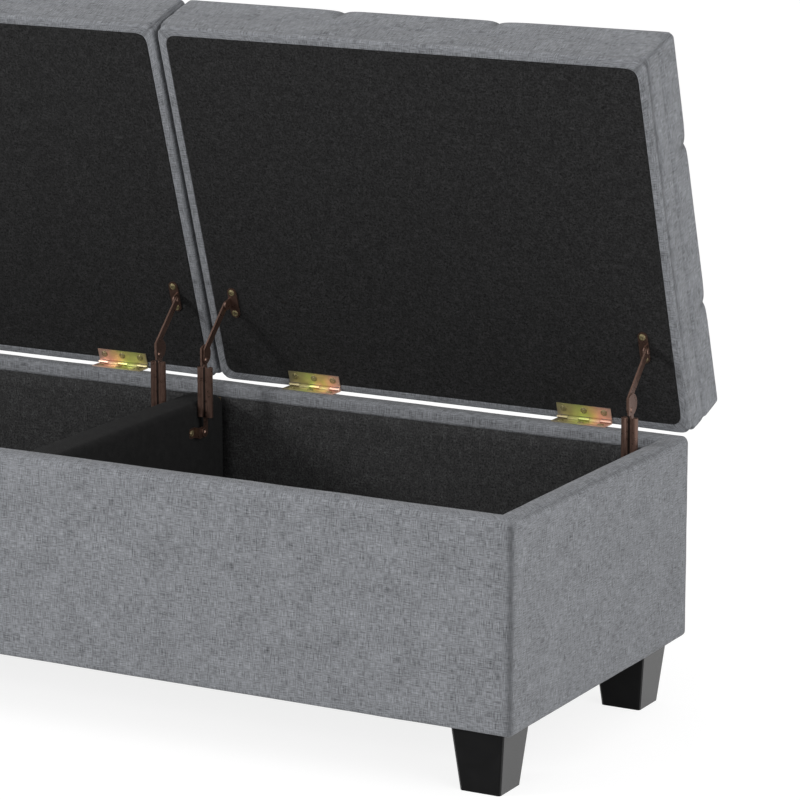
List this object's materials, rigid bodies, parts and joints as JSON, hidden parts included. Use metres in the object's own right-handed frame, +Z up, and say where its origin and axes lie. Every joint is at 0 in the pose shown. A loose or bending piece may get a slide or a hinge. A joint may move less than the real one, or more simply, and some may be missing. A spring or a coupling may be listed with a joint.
{
  "type": "storage ottoman bench",
  "caption": "Long upholstered storage bench on tapered feet, with tufted hinged lids held open by folding stays over felt-lined bins.",
  "frame": {"origin": "floor level, centre of the bench's reach with both lids open", "axes": "+X along the bench, +Y towards the hinged back, +Z up"},
  "size_m": [1.27, 0.5314, 0.7818],
  "materials": {
    "grey_linen": "slubbed plain-weave cloth",
    "black_felt": "matte non-woven felt",
    "pale_foam": "open-cell foam",
    "plain_board": "bare wood board",
    "satin_black": "satin moulded",
    "yellow_zinc": "yellow zinc plated",
    "bronze_steel": "bronze-brown plated sheet",
    "bright_steel": "zinc plated"
  },
  "bodies": {
    "base": {"front_board": "plain_board", "back_board": "plain_board", "left_end_board": "plain_board", "right_end_board": "plain_board", "floor_board": "plain_board", "base_padding": "pale_foam", "base_cover": "grey_linen", "left_bin_lining": "black_felt", "right_bin_lining": "black_felt", "divider_board": "plain_board", "divider_cover": "black_felt", "dust_cover": "black_felt", "foot_front_left": "satin_black", "foot_bolt_front_left": "bright_steel", "foot_front_right": "satin_black", "foot_bolt_front_right": "bright_steel", "foot_back_left": "satin_black", "foot_bolt_back_left": "bright_steel", "foot_back_right": "satin_black", "foot_bolt_back_right": "bright_steel", "left_inner_hinge_base_leaf": "yellow_zinc", "left_inner_hinge_pin": "yellow_zinc", "left_inner_stay_wall_bracket": "bronze_steel", "left_outer_hinge_base_leaf": "yellow_zinc", "left_outer_hinge_pin": "yellow_zinc", "left_outer_stay_wall_bracket": "bronze_steel", "right_inner_hinge_base_leaf": "yellow_zinc", "right_inner_hinge_pin": "yellow_zinc", "right_inner_stay_wall_bracket": "bronze_steel", "right_outer_hinge_base_leaf": "yellow_zinc", "right_outer_hinge_pin": "yellow_zinc", "right_outer_stay_wall_bracket": "bronze_steel"},
    "left_lid": {"left_lid_cover": "grey_linen", "left_lid_foam": "pale_foam", "left_lid_board": "plain_board", "left_lid_lining": "black_felt", "left_inner_hinge_lid_leaf": "yellow_zinc", "left_inner_stay_lid_bracket": "bronze_steel", "left_outer_hinge_lid_leaf": "yellow_zinc", "left_outer_stay_lid_bracket": "bronze_steel"},
    "left_inner_stay_lower": {"left_inner_stay_tongue": "bronze_steel", "left_inner_stay_canister": "bronze_steel"},
    "left_inner_stay_upper": {"left_inner_stay_arm": "bronze_steel"},
    "left_outer_stay_lower": {"left_outer_stay_tongue": "bronze_steel", "left_outer_stay_canister": "bronze_steel"},
    "left_outer_stay_upper": {"left_outer_stay_arm": "bronze_steel"},
    "right_lid": {"right_lid_cover": "grey_linen", "right_lid_foam": "pale_foam", "right_lid_board": "plain_board", "right_lid_lining": "black_felt", "right_inner_hinge_lid_leaf": "yellow_zinc", "right_inner_stay_lid_bracket": "bronze_steel", "right_outer_hinge_lid_leaf": "yellow_zinc", "right_outer_stay_lid_bracket": "bronze_steel"},
    "right_inner_stay_lower": {"right_inner_stay_tongue": "bronze_steel", "right_inner_stay_canister": "bronze_steel"},
    "right_inner_stay_upper": {"right_inner_stay_arm": "bronze_steel"},
    "right_outer_stay_lower": {"right_outer_stay_tongue": "bronze_steel", "right_outer_stay_canister": "bronze_steel"},
    "right_outer_stay_upper": {"right_outer_stay_arm": "bronze_steel"}
  },
  "joints": [
    {"name": "left_lid_hinge", "type": "hinge", "parent": "base", "child": "left_lid", "pos_m": [-0.318, 0.18781, 0.3172], "axis": [1, 0, 0], "range_deg": [0, 72.5]},
    {"name": "left_inner_stay_wall_pivot", "type": "hinge", "parent": "base", "child": "left_inner_stay_lower", "pos_m": [-0.0331, 0.10381, 0.267], "axis": [1, 0, 0], "range_deg": [0, 82.5]},
    {"name": "left_inner_stay_lid_pivot", "type": "hinge", "parent": "left_lid", "child": "left_inner_stay_upper", "pos_m": [-0.0331, 0.15085, 0.41512], "axis": [1, 0, 0], "range_deg": [-98.2, 0]},
    {"name": "left_outer_stay_wall_pivot", "type": "hinge", "parent": "base", "child": "left_outer_stay_lower", "pos_m": [-0.5965, 0.10381, 0.267], "axis": [1, 0, 0], "range_deg": [0, 82.5]},
    {"name": "left_outer_stay_lid_pivot", "type": "hinge", "parent": "left_lid", "child": "left_outer_stay_upper", "pos_m": [-0.5965, 0.15085, 0.41512], "axis": [1, 0, 0], "range_deg": [-98.2, 0]},
    {"name": "right_lid_hinge", "type": "hinge", "parent": "base", "child": "right_lid", "pos_m": [0.318, 0.18781, 0.3172], "axis": [1, 0, 0], "range_deg": [0, 72.5]},
    {"name": "right_inner_stay_wall_pivot", "type": "hinge", "parent": "base", "child": "right_inner_stay_lower", "pos_m": [0.0331, 0.10381, 0.267], "axis": [1, 0, 0], "range_deg": [0, 82.5]},
    {"name": "right_inner_stay_lid_pivot", "type": "hinge", "parent": "right_lid", "child": "right_inner_stay_upper", "pos_m": [0.0331, 0.15085, 0.41512], "axis": [1, 0, 0], "range_deg": [-98.2, 0]},
    {"name": "right_outer_stay_wall_pivot", "type": "hinge", "parent": "base", "child": "right_outer_stay_lower", "pos_m": [0.5965, 0.10381, 0.267], "axis": [1, 0, 0], "range_deg": [0, 82.5]},
    {"name": "right_outer_stay_lid_pivot", "type": "hinge", "parent": "right_lid", "child": "right_outer_stay_upper", "pos_m": [0.5965, 0.15085, 0.41512], "axis": [1, 0, 0], "range_deg": [-98.2, 0]}
  ],
  "couplings": [
    {"joint": "left_inner_stay_wall_pivot", "follows": "left_lid_hinge", "ratio": 1.1375},
    {"joint": "left_inner_stay_lid_pivot", "follows": "left_lid_hinge", "ratio": -1.3542},
    {"joint": "left_outer_stay_wall_pivot", "follows": "left_lid_hinge", "ratio": 1.1375},
    {"joint": "left_outer_stay_lid_pivot", "follows": "left_lid_hinge", "ratio": -1.3542},
    {"joint": "right_inner_stay_wall_pivot", "follows": "right_lid_hinge", "ratio": 1.1375},
    {"joint": "right_inner_stay_lid_pivot", "follows": "right_lid_hinge", "ratio": -1.3542},
    {"joint": "right_outer_stay_wall_pivot", "follows": "right_lid_hinge", "ratio": 1.1375},
    {"joint": "right_outer_stay_lid_pivot", "follows": "right_lid_hinge", "ratio": -1.3542}
  ]
}
